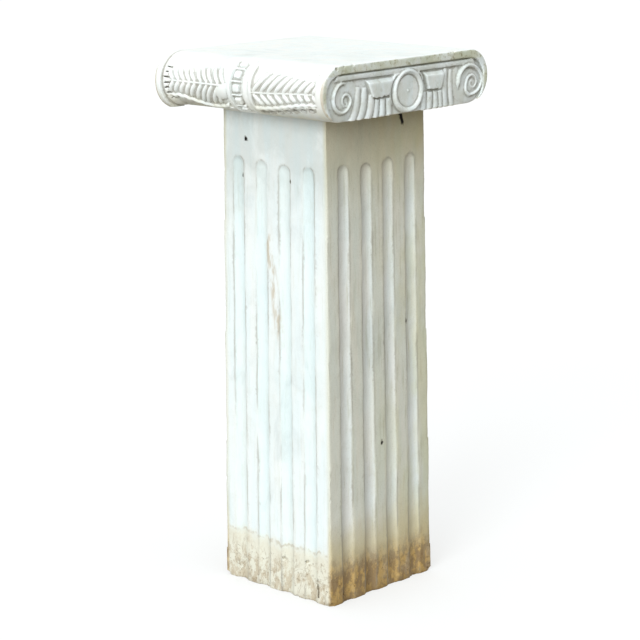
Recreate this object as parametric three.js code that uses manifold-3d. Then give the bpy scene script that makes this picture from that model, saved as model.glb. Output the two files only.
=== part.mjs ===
import * as THREE from 'three';
import { mergeVertices } from 'three/addons/utils/BufferGeometryUtils.js';
import Module from 'manifold-3d';

// A waist-high pedestal of white marble, in two carved blocks.
// The shaft is square, tapers slightly and has four flutes on each face.
// The capital is a flat ionic one that rests on the shaft: volutes on the -Y and +Y faces,
// and a leafy roll along each of the -X and +X sides.
// Millimetres, +Z up, origin at the middle of the shaft's foot.

const wasm = await Module();
wasm.setup();

// --- driving dimensions ---------------------------------------------------

const totalHeight = 915;
const capitalHeight = 90;
const restGap = 0.3; // hairline between the two blocks

const footWidth = 253;
const neckWidth = 236;
const flutesPerFace = 4;
const flutePitch = 54.5; // at the neck
const fluteWidth = 26; // at the neck
const fluteDepth = 7;
const fluteTop = 741;
const slot = { x: 63, width: 4, height: 34, depth: 10, lean: 0.08 };

const capitalWidth = 400; // over the two rolls
const capitalDepth = 380; // along the rolls
const carvingDepth = 7; // how far the volute faces are sunk behind their border
const borderHeight = 14; // flat border along the top of a volute face
const borderAtEnds = 10;
const waistSink = 5.5; // how far the leafy part of a roll lies below its rims
const leafRelief = 4.5;
const leafletsPerRow = 8;
const leafRise = 0.14; // angle of a leaf's middle rib above the level of the roll's axis
const beadPitch = THREE.MathUtils.degToRad(32);

const bossX = 1;
const bossRise = 36.5; // height of the boss's middle above the bed
const voluteRise = 38;
const tabTopDrop = 26; // below the top of the capital
const tabHeight = 31;

// --- derived sizes --------------------------------------------------------

const capitalBottom = totalHeight - capitalHeight;
const shaftHeight = capitalBottom - restGap;
const taper = footWidth / neckWidth;
const rollRadius = capitalHeight / 2;
const rollX = capitalWidth / 2 - rollRadius;
const rollZ = capitalBottom + rollRadius;
const faceY = capitalDepth / 2;
const fieldY = faceY - carvingDepth;
const waistRadius = rollRadius - waistSink;

// --- solids ---------------------------------------------------------------

function solid(geometry) {
  const bare = geometry.clone();
  bare.deleteAttribute('normal');
  bare.deleteAttribute('uv');
  const merged = mergeVertices(bare, 1e-4);
  return new wasm.Manifold(new wasm.Mesh({
    numProp: 3,
    vertProperties: new Float32Array(merged.attributes.position.array),
    triVerts: new Uint32Array(merged.index.array),
  }));
}

function placed(geometry, position, rotation = [0, 0, 0], scale = [1, 1, 1]) {
  const matrix = new THREE.Matrix4().compose(
    new THREE.Vector3(...position),
    new THREE.Quaternion().setFromEuler(new THREE.Euler(...rotation)),
    new THREE.Vector3(...scale),
  );
  return geometry.clone().applyMatrix4(matrix);
}

function scaled(geometry, scale) {
  return placed(geometry, [0, 0, 0], [0, 0, 0], scale);
}

function joined(body, pieces) {
  return pieces.reduce((whole, piece) => whole.add(solid(piece)), body);
}

function meshOf(manifold, name, material) {
  const raw = manifold.getMesh();
  const geometry = new THREE.BufferGeometry();
  geometry.setAttribute('position', new THREE.BufferAttribute(new Float32Array(raw.vertProperties), 3));
  geometry.setIndex(new THREE.BufferAttribute(new Uint32Array(raw.triVerts), 1));
  const mesh = new THREE.Mesh(geometry, material);
  mesh.name = name;
  return mesh;
}

// --- the shaft ------------------------------------------------------------

function shaftBlock() {
  const geometry = new THREE.BoxGeometry(footWidth, footWidth, shaftHeight);
  geometry.translate(0, 0, shaftHeight / 2);
  const corner = geometry.attributes.position;
  for (let i = 0; i < corner.count; i += 1) {
    if (corner.getZ(i) > shaftHeight / 2) {
      corner.setX(i, corner.getX(i) / taper);
      corner.setY(i, corner.getY(i) / taper);
    } else {
      corner.setZ(i, 0);
    }
  }
  return geometry;
}

// A flute is a long round-ended trough that spreads with the taper and runs out at the foot.
function fluteTool(along) {
  const radius = (fluteWidth ** 2 / 4 + fluteDepth ** 2) / (2 * fluteDepth);
  const clear = radius - fluteDepth;
  const topZ = fluteTop - fluteWidth / 2;
  const overrun = 12;
  const faceAt = (z) => (footWidth - (footWidth - neckWidth) * (z / shaftHeight)) / 2;
  const top = new THREE.Vector3(along, -faceAt(topZ) - clear, topZ);
  const foot = new THREE.Vector3(along * taper, -faceAt(-overrun) - clear * taper, -overrun);
  const length = top.distanceTo(foot);
  const outline = [new THREE.Vector2(0, -length), new THREE.Vector2(radius * taper, -length)];
  const headSteps = 4;
  for (let i = 0; i < headSteps; i += 1) {
    const angle = (i / headSteps) * (Math.PI / 2);
    outline.push(new THREE.Vector2(radius * Math.cos(angle), radius * Math.sin(angle)));
  }
  outline.push(new THREE.Vector2(0, radius));
  const trough = new THREE.LatheGeometry(outline, 20);
  const upright = new THREE.Vector3(0, 1, 0);
  const turn = new THREE.Quaternion().setFromUnitVectors(upright, top.clone().sub(foot).normalize());
  return trough.applyMatrix4(new THREE.Matrix4().compose(top, turn, new THREE.Vector3(1, 1, 1)));
}

// A narrow slot in the -Y face, just under the capital.
function slotTool() {
  const box = new THREE.BoxGeometry(slot.width, 2 * slot.depth, 2 * slot.height);
  return placed(box, [slot.x, -neckWidth / 2, shaftHeight], [0, -slot.lean, 0]);
}

function makeShaft() {
  let block = solid(shaftBlock());
  for (let face = 0; face < 4; face += 1) {
    const turn = new THREE.Matrix4().makeRotationZ((face * Math.PI) / 2);
    for (let i = 0; i < flutesPerFace; i += 1) {
      const along = (i - (flutesPerFace - 1) / 2) * flutePitch;
      block = block.subtract(solid(fluteTool(along).applyMatrix4(turn)));
    }
  }
  return block.subtract(solid(slotTool()));
}

// --- the capital: body ----------------------------------------------------

// Radius of a roll along its length: plain rims, sunk leafy waists, and a belt at the middle
// made of one thick round moulding, a sunk bead channel and a thin fillet.
function rollProfile() {
  const rim = rollRadius;
  const waist = waistRadius;
  const half = [
    [faceY, rim], [faceY - 8, rim], [faceY - 14, rim - 2.5], [faceY - 22, waist],
  ];
  const belt = [
    [26, waist], [24, rim - 2], [18.5, rim - 2], [17.5, waist], [-8.5, waist], [-9.5, rim - 2.5],
    [-12, rim - 0.5], [-16, rim], [-20, rim - 0.5], [-22.5, rim - 2.5], [-24, waist],
  ];
  const points = [
    [faceY, 0], ...half, ...belt,
    ...half.map(([y, r]) => [-y, r]).reverse(), [-faceY, 0],
  ];
  return points.map(([y, r]) => new THREE.Vector2(r, y)).reverse();
}

function roll(side) {
  const geometry = new THREE.LatheGeometry(rollProfile(), 24);
  return placed(geometry, [side * rollX, 0, rollZ]);
}

// Turns a drawing made in X and Z into a slab that stands on the sunk field of the -Y face
// and stops short of the border's level by the given amount.
function onFace(shape, short, bevel = 0) {
  const root = 6;
  const geometry = new THREE.ExtrudeGeometry(shape, {
    depth: root + carvingDepth - short - bevel,
    bevelEnabled: bevel > 0,
    bevelThickness: bevel,
    bevelSize: bevel,
    bevelOffset: -bevel,
    bevelSegments: 1,
  });
  geometry.rotateX(Math.PI / 2);
  geometry.translate(0, root - fieldY, 0);
  return geometry;
}

// The sunk field: straight along the top, round about each volute, open below between them.
function fieldShape() {
  const radius = rollRadius - borderAtEnds;
  const x = rollX;
  const top = totalHeight - borderHeight;
  const z = top - radius;
  const openAt = 126;
  const step = 8;
  const below = capitalBottom - 5;
  const shape = new THREE.Shape();
  shape.moveTo(-openAt, below);
  shape.lineTo(-openAt - step, z - radius);
  shape.absarc(-x, z, radius, -Math.PI / 2, -Math.PI * 1.5, true);
  shape.absarc(x, z, radius, Math.PI / 2, -Math.PI / 2, true);
  shape.lineTo(openAt + step, z - radius);
  shape.lineTo(openAt, below);
  return shape;
}

function fieldTool() {
  const geometry = new THREE.ExtrudeGeometry(fieldShape(), {
    depth: 2 * carvingDepth,
    bevelEnabled: false,
    curveSegments: 12,
  });
  geometry.rotateX(Math.PI / 2);
  geometry.translate(0, -fieldY, 0);
  return geometry;
}

// --- the capital: volute face ---------------------------------------------

// A ribbon of the given width along a path in X and Z, narrowing towards its far end.
function ribbon(pointAt, steps, width) {
  const narrowing = 0.45;
  const reach = 0.01;
  const outer = [];
  const inner = [];
  for (let i = 0; i <= steps; i += 1) {
    const t = i / steps;
    const [x, z] = pointAt(t);
    const [xn, zn] = pointAt(Math.min(1, t + reach));
    const [xp, zp] = pointAt(Math.max(0, t - reach));
    const length = Math.hypot(xn - xp, zn - zp);
    const half = (width * (1 - narrowing * t)) / 2;
    const nx = (-(zn - zp) / length) * half;
    const nz = ((xn - xp) / length) * half;
    outer.push(new THREE.Vector2(x + nx, z + nz));
    inner.push(new THREE.Vector2(x - nx, z - nz));
  }
  return new THREE.Shape([...outer, ...inner.reverse()]);
}

// A volute: one ridge that winds inwards to an eye. Its left and right ends differ in width,
// as they were carved by hand.
function volute({ x, wide, high, side, turns, start }) {
  const z = capitalBottom + voluteRise;
  const shrink = 0.72;
  const eyeRadius = 5;
  const ridge = ribbon((t) => {
    const angle = start - t * turns * Math.PI * 2;
    const size = 1 - shrink * t;
    return [x + side * wide * size * Math.cos(angle), z + high * size * Math.sin(angle)];
  }, 18, 7);
  const eye = placed(new THREE.CylinderGeometry(eyeRadius, eyeRadius, 10, 10), [x, 1 - fieldY, z]);
  return [onFace(ridge, 1.5), eye];
}

// A curved ridge about a centre: those that hug the inner side of a volute and run out at the
// lower edge, and the shells on both sides of the boss.
function bow({ x, rise, side, radius, from, to, width }) {
  const z = capitalBottom + rise;
  const band = ribbon((t) => {
    const angle = from + (to - from) * t;
    return [x + side * radius * Math.cos(angle), z + radius * Math.sin(angle)];
  }, 4, width);
  return onFace(band, 2.5);
}

function tab(side, outerX, innerX) {
  const top = totalHeight - tabTopDrop;
  const bottom = top - tabHeight;
  const shape = new THREE.Shape([
    new THREE.Vector2(side * innerX, top),
    new THREE.Vector2(side * outerX, top),
    new THREE.Vector2(side * (outerX - 11), bottom),
    new THREE.Vector2(side * (innerX + 4), bottom),
  ]);
  return onFace(shape, 1, 2.5);
}

// A short upright bar with a rounded front, from under a tab to the lower edge.
function tongue(x) {
  const radius = 5.2;
  const bar = new THREE.CylinderGeometry(radius, radius, tabHeight, 8);
  return placed(bar, [x, -fieldY, capitalBottom + tabHeight / 2], [Math.PI / 2, 0, 0]);
}

// The round boss: a flat disc, a groove, and a rounded ring about it.
function boss() {
  const root = -6;
  const profile = [
    [0, root], [37, root], [37.5, 1], [36.5, 5], [33.5, 7], [30.5, 5.8],
    [28, 3], [26.5, 3], [25.5, 6], [0, 6.5],
  ];
  const disc = new THREE.LatheGeometry(profile.map(([r, y]) => new THREE.Vector2(r, y)), 18);
  return placed(disc, [bossX, -fieldY, capitalBottom + bossRise], [Math.PI, 0, 0]);
}

function voluteFace() {
  const left = { x: -152, wide: 22, high: 25, side: -1, turns: 1.55, start: 2.5 };
  const right = { x: 153, wide: 34, high: 26, side: 1, turns: 1.75, start: 3.45 };
  const byLeft = { x: left.x, rise: voluteRise, side: 1, width: 11 };
  const byRight = { x: right.x, rise: voluteRise, side: -1, width: 10 };
  const byBoss = { x: bossX, rise: bossRise, radius: 42.5, from: 0.78, to: -0.25, width: 5 };
  return [
    ...volute(left),
    ...volute(right),
    bow({ ...byLeft, radius: 39, from: -1.1, to: -0.1 }),
    bow({ ...byLeft, radius: 54.5, from: -0.8, to: 0.1 }),
    bow({ ...byLeft, radius: 71, from: -0.6, to: -0.15 }),
    bow({ ...byRight, radius: 45, from: -0.9, to: 0.45 }),
    bow({ ...byRight, radius: 58.5, from: -0.75, to: 0.35 }),
    bow({ ...byBoss, side: -1 }),
    bow({ ...byBoss, side: 1 }),
    tab(-1, 98, 40),
    tab(1, 87, 40),
    ...[-72, -58, 47, 60, 73].map(tongue),
    boss(),
  ];
}

// --- the capital: leafy rolls ---------------------------------------------

// Sets a piece modelled about the origin (its top along +Z, its length along Y) on the -X roll:
// at a distance along it, at an angle above the level of its axis, turned about its own upright.
function onRoll(geometry, y, angle, twist = 0, lift = 0) {
  const radius = waistRadius + lift;
  const turned = placed(geometry, [0, 0, 0], [0, 0, twist]);
  return placed(
    turned,
    [-rollX - radius * Math.cos(angle), y, rollZ + radius * Math.sin(angle)],
    [0, angle - Math.PI / 2, 0],
  );
}

// Two rows of leaflets that lean outwards from the belt, above and below the middle rib.
function leaflets(end) {
  const first = 40;
  const last = faceY - 30;
  const lean = 0.85; // away from the roll's length
  const pieces = [];
  for (let i = 0; i < leafletsPerRow; i += 1) {
    const t = i / (leafletsPerRow - 1);
    const y = end * (first + (last - first) * t);
    const reach = 1 - 0.25 * t;
    const blade = scaled(new THREE.OctahedronGeometry(1), [6.5, 18 * reach, leafRelief]);
    for (const row of [1, -1]) {
      const angle = leafRise + row * (0.1 + 0.36 * reach);
      pieces.push(onRoll(blade, y, angle, -row * end * lean, -0.5));
    }
  }
  return pieces;
}

// The rib along the middle of a leaf, and the raised border below it.
function leafLines(end) {
  const half = 2.6;
  const steps = 6;
  const section = new THREE.Shape([
    new THREE.Vector2(half, 0),
    new THREE.Vector2(0, half),
    new THREE.Vector2(-half, 0),
    new THREE.Vector2(0, -half),
  ]);
  const line = (angleAt, lift) => {
    const radius = waistRadius + lift;
    const points = [];
    for (let i = 0; i <= steps; i += 1) {
      const t = i / steps;
      const angle = angleAt(t);
      const y = end * (26 + (faceY - 46) * t);
      const x = -rollX - radius * Math.cos(angle);
      points.push(new THREE.Vector3(x, y, rollZ + radius * Math.sin(angle)));
    }
    const extrudePath = new THREE.CatmullRomCurve3(points);
    return new THREE.ExtrudeGeometry(section, { steps: 4, bevelEnabled: false, extrudePath });
  };
  return [line(() => leafRise, 1), line((t) => -0.78 + 0.42 * t, 1.5)];
}

// The belt's bead channel: pillowed square beads with a thin bar between each two.
function beads() {
  const middle = 4.5;
  const square = new THREE.Shape([
    new THREE.Vector2(-6, -8),
    new THREE.Vector2(6, -8),
    new THREE.Vector2(6, 8),
    new THREE.Vector2(-6, 8),
  ]);
  const bead = new THREE.ExtrudeGeometry(square, {
    depth: 4,
    bevelEnabled: true,
    bevelThickness: 2.4,
    bevelSize: 2.4,
    bevelSegments: 1,
  });
  const bar = new THREE.BoxGeometry(2.4, 25, 7);
  const pieces = [];
  for (let i = -2; i <= 2; i += 1) {
    const angle = i * beadPitch - 0.035;
    pieces.push(onRoll(bead, middle, angle, 0, -1.4));
    pieces.push(onRoll(bar, middle, angle + beadPitch / 2, 0, 1));
  }
  return pieces;
}

// A ring of short tongues on the flare just inside a rim.
function rimTongues(end) {
  const blade = scaled(new THREE.OctahedronGeometry(1), [4.6, 10, 4]);
  const pieces = [];
  for (let i = -3; i <= 3; i += 1) {
    pieces.push(onRoll(blade, end * (faceY - 16), leafRise + i * 0.28, 0, 1.5));
  }
  return pieces;
}

function rollCarving() {
  const bothEnds = (carve) => [...carve(1), ...carve(-1)];
  return [...bothEnds(leaflets), ...bothEnds(leafLines), ...beads(), ...bothEnds(rimTongues)];
}

// --- the capital: whole ---------------------------------------------------

function makeCapital() {
  const slab = placed(new THREE.BoxGeometry(rollX * 2, capitalDepth, capitalHeight), [0, 0, rollZ]);
  const envelope = placed(
    new THREE.BoxGeometry(capitalWidth, capitalDepth, capitalHeight),
    [0, 0, rollZ],
  );
  const halfTurn = new THREE.Matrix4().makeRotationZ(Math.PI);
  const bothWays = (pieces) => [...pieces, ...pieces.map((piece) => piece.clone().applyMatrix4(halfTurn))];
  let body = joined(solid(slab), [roll(-1), roll(1)]);
  for (const tool of bothWays([fieldTool()])) {
    body = body.subtract(solid(tool));
  }
  body = joined(body, bothWays([...rollCarving(), ...voluteFace()]));
  // What runs out at an edge is dressed flush with the bed, the top and the faces.
  return body.intersect(solid(envelope));
}

// --- the pedestal ---------------------------------------------------------

const shaftMarble = new THREE.MeshStandardMaterial({ color: 0xe6e6e0, roughness: 0.62, metalness: 0 });
const capitalMarble = new THREE.MeshStandardMaterial({ color: 0xecebe6, roughness: 0.58, metalness: 0 });

const pedestal = new THREE.Group();
pedestal.name = 'pedestal';
pedestal.add(meshOf(makeShaft(), 'shaft', shaftMarble));
pedestal.add(meshOf(makeCapital(), 'capital', capitalMarble));

export default pedestal;
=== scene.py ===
import math
import random

import bpy
import numpy as np
from mathutils import Matrix, Vector, kdtree


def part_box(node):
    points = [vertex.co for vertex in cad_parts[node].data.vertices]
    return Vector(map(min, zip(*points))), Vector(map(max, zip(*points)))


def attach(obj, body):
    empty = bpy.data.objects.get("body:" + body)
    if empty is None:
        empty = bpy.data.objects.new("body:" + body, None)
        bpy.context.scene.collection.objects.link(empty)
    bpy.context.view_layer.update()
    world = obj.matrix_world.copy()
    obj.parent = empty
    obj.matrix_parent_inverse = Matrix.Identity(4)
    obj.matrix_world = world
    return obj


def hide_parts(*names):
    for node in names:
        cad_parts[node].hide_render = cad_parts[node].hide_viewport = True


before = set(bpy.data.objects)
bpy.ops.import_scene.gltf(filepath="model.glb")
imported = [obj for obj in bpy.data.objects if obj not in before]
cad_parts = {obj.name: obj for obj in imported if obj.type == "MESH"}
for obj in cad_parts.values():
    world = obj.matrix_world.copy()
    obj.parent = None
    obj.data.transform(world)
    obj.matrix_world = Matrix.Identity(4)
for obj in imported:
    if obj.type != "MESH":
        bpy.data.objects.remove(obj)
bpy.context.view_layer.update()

# ---------------------------------------------------------------- shaft
# One tapering square block of white marble. Four shallow flutes are cut by hand in each face
# with a gouge, so they wander a little, and they run out through the foot. Small holes, a
# crack and chipped corners are left as weather and handling made them.

MM = 0.001
shaft_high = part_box("shaft")[1]
SHAFT_TOP = shaft_high.z
FOOT_HALF = shaft_high.x
NECK_HALF = 118 * MM
FLUTE_HALF = 13
FLUTE_DEPTH = 3.9
# Before it is pressed flat, the round gouge's middle stands this far off the face.
GOUGE_LIFT = 14.5
# A flute is wider by this share at the foot than at its top.
SPREAD = 0.11
SHAFT_VOXEL = 2 * MM
SHAFT_FACES = 185000


def let_go():
    """Object mode, with nothing selected."""
    if bpy.context.object and bpy.context.object.mode != "OBJECT":
        bpy.ops.object.mode_set(mode="OBJECT")
    bpy.ops.object.select_all(action="DESELECT")


def take(*pieces):
    """Only these pieces selected, the first one active."""
    let_go()
    for piece in pieces:
        piece.select_set(True)
    bpy.context.view_layer.objects.active = pieces[0]


def settle(piece):
    """The piece's place, turn and scale go into its mesh, and its loose seams are closed."""
    take(piece)
    bpy.ops.object.convert(target="MESH")
    bpy.ops.object.transform_apply(location=True, rotation=True, scale=True)
    bpy.ops.object.mode_set(mode="EDIT")
    bpy.ops.mesh.select_all(action="SELECT")
    bpy.ops.mesh.remove_doubles(threshold=0.01 * MM)
    bpy.ops.mesh.normals_make_consistent(inside=False)
    bpy.ops.object.mode_set(mode="OBJECT")
    return piece


def block(name, low, high):
    """A box between two corners."""
    low, high = Vector(low), Vector(high)
    let_go()
    bpy.ops.mesh.primitive_cube_add(size=1, location=(low + high) / 2)
    piece = bpy.context.object
    piece.name = name
    piece.scale = high - low
    return settle(piece)


def pick(piece, kind, test):
    """Edit mode, with only the vertices or faces that pass the test selected."""
    take(piece)
    bpy.ops.object.mode_set(mode="EDIT")
    bpy.ops.mesh.select_mode(type=kind)
    bpy.ops.mesh.select_all(action="DESELECT")
    bpy.ops.object.mode_set(mode="OBJECT")
    for part in piece.data.vertices if kind == "VERT" else piece.data.polygons:
        part.select = test(part)
    bpy.ops.object.mode_set(mode="EDIT")


def bars(name, lines, sides=3):
    """Round bars. A line is a list of points, each with its radius in millimetres."""
    curve = bpy.data.curves.new(name, "CURVE")
    curve.dimensions = "3D"
    curve.bevel_depth = MM
    curve.bevel_resolution = sides
    curve.use_fill_caps = True
    for line in lines:
        spline = curve.splines.new("POLY")
        spline.points.add(len(line) - 1)
        for point, (place, radius) in zip(spline.points, line):
            point.co = (*place, 1)
            point.radius = radius
    piece = bpy.data.objects.new(name, curve)
    bpy.context.scene.collection.objects.link(piece)
    return settle(piece)


def joined(name, pieces):
    """Several meshes as one object."""
    take(*pieces)
    bpy.ops.object.join()
    pieces[0].name = name
    return pieces[0]


def modify(piece, kind, **settings):
    """Adds a modifier and applies it."""
    take(piece)
    modifier = piece.modifiers.new("work", kind)
    for key, value in settings.items():
        setattr(modifier, key, value)
    bpy.ops.object.modifier_apply(modifier="work")
    return piece


def cut(piece, tool, solver="EXACT"):
    """Takes the tool's volume out of the piece, and removes the tool."""
    modify(piece, "BOOLEAN", object=tool, operation="DIFFERENCE", solver=solver)
    bpy.data.objects.remove(tool)


def roughen(piece, size, depth, direction="NORMAL"):
    """Moves the surface in and out by a cloudy pattern of that size and total depth."""
    clouds = bpy.data.textures.new("clouds", "CLOUDS")
    clouds.noise_scale = size
    clouds.noise_depth = 2
    modify(piece, "DISPLACE", texture=clouds, texture_coords="LOCAL",
           direction=direction, strength=depth, mid_level=0.5)


def chips(name, places, seed):
    """Rough lumps that bite chips and holes out of stone: (x, y, z, radius) in millimetres."""
    chance = random.Random(seed)
    let_go()
    for number, (x, y, z, radius) in enumerate(places):
        bpy.ops.mesh.primitive_ico_sphere_add(
            subdivisions=2, radius=radius * MM, location=(x * MM, y * MM, z * MM),
            rotation=[chance.uniform(0, 6.28) for _ in range(3)])
        if not number:
            lumps = settle(bpy.context.object)
            bpy.ops.object.mode_set(mode="EDIT")
    bpy.ops.object.mode_set(mode="OBJECT")
    lumps.name = name
    for vertex in lumps.data.vertices:
        vertex.co += Vector([chance.uniform(-0.5, 0.5) * MM for _ in range(3)])
    return modify(lumps, "REMESH", mode="VOXEL", voxel_size=0.8 * MM)


def shaft_half(z):
    """Half the shaft's width at a height."""
    return FOOT_HALF + (NECK_HALF - FOOT_HALF) * z / SHAFT_TOP


def on_side(side, across, z, out):
    """A point by a side of the shaft: 0 front, 1 left, 2 back, 3 right, seen from outside."""
    x, y = across, -shaft_half(z) - out
    for _ in range(side):
        x, y = y, -x
    return x, y, z


shaft = block("shaft_stone", (-FOOT_HALF, -FOOT_HALF, 0), (FOOT_HALF, FOOT_HALF, SHAFT_TOP))
pick(shaft, "FACE", lambda face: face.normal.z > 0.5)
bpy.ops.transform.resize(value=(NECK_HALF / FOOT_HALF, NECK_HALF / FOOT_HALF, 1),
                         center_override=(0, 0, SHAFT_TOP))

# Each side's flutes: middle at the neck, middle at the foot, height of the rounded top.
SIDE_FLUTES = (
    ((-80, -83, 743), (-25, -27, 739), (27, 29.5, 743), (82, 85.5, 744)),
    ((-84, -87, 743.5), (-30, -32, 741), (23, 24, 738), (78, 80, 740)),
    ((-81, -84, 742), (-27, -28, 740), (27, 28, 743), (81, 84, 741)),
    ((-82, -85, 741), (-27, -29, 743), (26, 28, 740), (81, 84, 742)),
)
hand = random.Random(11)
for side, flutes in enumerate(SIDE_FLUTES):
    lines = []
    for at_neck, at_foot, top in flutes:
        line = []
        centre = top - FLUTE_HALF
        ball = math.hypot(FLUTE_HALF, GOUGE_LIFT)
        for rise in (0.995, 0.95, 0.85, 0.7, 0.6, 0.5, 0.4, 0.25, 0.12):
            line.append(((at_neck * MM, 0, (centre + rise * ball) * MM),
                         ball * math.sqrt(1 - rise * rise)))
        for rung in range(24):
            z = centre - rung * (centre + 12) / 23
            share = 1 - z / centre
            middle = at_neck + (at_foot - at_neck) * share + hand.uniform(-0.7, 0.7)
            line.append(((middle * MM, 0, z * MM),
                         math.hypot(FLUTE_HALF * (1 + SPREAD * share)
                                    + hand.uniform(-0.5, 0.5), GOUGE_LIFT)))
        lines.append(line)
    # Only the near side of each round bar dips into the stone, so a flute is a shallow dish.
    gouge = bars("flute_gouge", lines, sides=12)
    press = FLUTE_DEPTH / (math.hypot(FLUTE_HALF, GOUGE_LIFT) - GOUGE_LIFT)
    for vertex in gouge.data.vertices:
        across, out, z = vertex.co
        vertex.co = on_side(side, across, z, (out + GOUGE_LIFT * MM) * press)
    cut(shaft, settle(gouge))

# The spalls along the foot and up the corners.
spalls = []
for side in range(4):
    for across, z, out, radius in (
        (-127, -3, 4, 11.5), (-95, -1, 6, 9), (118, -2, 7, 9), (45, -5, 4, 9), (-12, -4, 5, 8),
        (-129, 60, 5, 7), (-127, 150, 5, 7), (125, 330, 5.5, 7), (-124, 480, 5.5, 7),
        (-121, 640, 5, 6), (120, 700, 5, 6),
    ):
        across += hand.uniform(-2, 2)
        z += hand.uniform(-2, 40) if z > 20 else 0
        x, y, z = on_side(side, across * MM, z * MM, out * MM)
        spalls.append((x / MM, y / MM, z / MM, radius + hand.uniform(-1, 1)))

modify(shaft, "REMESH", mode="VOXEL", voxel_size=SHAFT_VOXEL)
cut(shaft, chips("spall_tool", spalls, 5), "MANIFOLD")
roughen(shaft, 0.11, 2.4 * MM, "X")
roughen(shaft, 0.1, 2.4 * MM, "Y")
roughen(shaft, 0.03, 0.9 * MM)
roughen(shaft, 0.008, 0.5 * MM)

# The narrow sawn slot under the capital, the small deep holes and the cracks at the foot.
SLOT_X, SLOT_Z, SLOT_LEAN = 61 * MM, 809 * MM, 0.33
slot_tool = block("slot_tool", (-2.4 * MM, -26 * MM, -13 * MM), (2.4 * MM, 26 * MM, 22 * MM))
pick(slot_tool, "FACE", lambda face: True)
bpy.ops.mesh.subdivide(number_cuts=24)
bpy.ops.object.mode_set(mode="OBJECT")
slot_tool.rotation_euler = (0, -SLOT_LEAN, 0)
slot_tool.location = (SLOT_X, -NECK_HALF, SLOT_Z)
cut(shaft, settle(slot_tool), "MANIFOLD")
HOLES = (
    (0, 71, 458, 2.4), (0, 4, 259, 2.2), (1, -65, 773, 2.6), (1, -76, 710, 2.6),
    (1, 36, 712, 2.2), (1, -87, 602, 2.4), (2, 40, 690, 2.4), (3, -50, 560, 2.2),
    (3, 60, 300, 2.4), (0, -95, 9, 2.6), (0, -96, 15, 2.2), (0, 120, 5, 2.4),
)
holes = []
for side, across, z, radius in HOLES:
    x, y, z = on_side(side, across * MM, z * MM, 0)
    holes.append((x / MM, y / MM, z / MM, radius))
cut(shaft, chips("hole_tool", holes, 8), "MANIFOLD")
CRACKS = (
    (1, (92, 52), (94, 42), (92, 33), (97, 22), (96, 11), (102, 3)),
    (1, (8, 66), (13, 60), (18, 58), (20, 51), (26, 47)),
    (1, (20, 51), (17, 42), (19, 34)), (1, (-60, 40), (-55, 33), (-56, 24)),
    (1, (60, 70), (68, 66), (74, 68), (80, 62)), (1, (-98, 30), (-94, 20), (-97, 10)),
    (0, (-94, 30), (-95, 22), (-93, 12), (-96, 2)), (0, (20, 44), (23, 36), (21, 28)),
    (2, (30, 60), (36, 48), (34, 40)), (3, (-70, 50), (-66, 40), (-68, 30)),
)
cracks = []
for side, *points in CRACKS:
    cracks.append([(on_side(side, across * MM, z * MM, -2 * MM),
                    0.5 + 1.9 * min(k, len(points) - 1 - k, 1))
                   for k, (across, z) in enumerate(points)])
cut(shaft, bars("crack_tool", cracks, sides=1), "MANIFOLD")


def mark_hollows(piece, rounds):
    """Stores how deep each point lies under the smoothed surface, in millimetres."""
    take(piece)
    bpy.ops.object.duplicate()
    smooth = bpy.context.object
    modify(smooth, "SMOOTH", factor=0.5, iterations=rounds)
    count = len(piece.data.vertices)
    here, there, normal = (np.empty(count * 3, np.float32) for _ in range(3))
    piece.data.vertices.foreach_get("co", here)
    smooth.data.vertices.foreach_get("co", there)
    piece.data.vertices.foreach_get("normal", normal)
    bpy.data.objects.remove(smooth)
    depth = ((there - here) * normal).reshape(-1, 3).sum(1) / MM
    hollow = piece.data.attributes.new("hollow", "FLOAT", "POINT")
    hollow.data.foreach_set("value", depth.astype(np.float32))


def thin_out(piece, most):
    """Fewer faces where the surface is plain, and smooth shading."""
    piece.data.calc_loop_triangles()
    count = len(piece.data.loop_triangles)
    if count > most:
        modify(piece, "DECIMATE", ratio=most / count)
    take(piece)
    bpy.ops.object.shade_smooth()


def darken(piece, spots, deep=9):
    """Marks points near these spots (x, y, z, reach, in metres) as lying at least that deep, so
    the marble paints them darker: painted shade in holes, slot, pockets and under borders, and
    grime with painted shade between leaflets.
    """
    tree = kdtree.KDTree(len(piece.data.vertices))
    for number, vertex in enumerate(piece.data.vertices):
        tree.insert(vertex.co, number)
    tree.balance()
    hollow = piece.data.attributes["hollow"].data
    for x, y, z, reach in spots:
        for _, number, _ in tree.find_range((x, y, z), reach):
            hollow[number].value = max(hollow[number].value, deep)


def mark_flutes(piece):
    """Two attributes: flute is 1 inside a flute, seam is 1 on the dirty line at its edge."""
    count = len(piece.data.vertices)
    place = np.empty(count * 3, np.float32)
    piece.data.vertices.foreach_get("co", place)
    x, y, z = place.reshape(-1, 3).T / MM
    seam, inside = np.zeros(count), np.zeros(count)
    for side, flutes in enumerate(SIDE_FLUTES):
        across, out = x, y
        for _ in range(side):
            across, out = -out, across
        facing = (out < -106) & (np.abs(across) < 114)
        for at_neck, at_foot, top in flutes:
            share = 1 - z / top
            middle = at_neck + (at_foot - at_neck) * share
            half = FLUTE_HALF * (1 + SPREAD * share)
            reach = np.hypot(across - middle, np.maximum(z - (top - half), 0))
            line = np.exp(-((reach - half) / 1.3) ** 2) * facing
            seam = np.maximum(seam, line)
            inside = np.maximum(inside, np.clip((half - reach) / 2, 0, 1) * facing)
    for name, values in (("seam", seam), ("flute", inside)):
        attribute = piece.data.attributes.new(name, "FLOAT", "POINT")
        attribute.data.foreach_set("value", values.astype(np.float32))


mark_hollows(shaft, 30)
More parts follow.
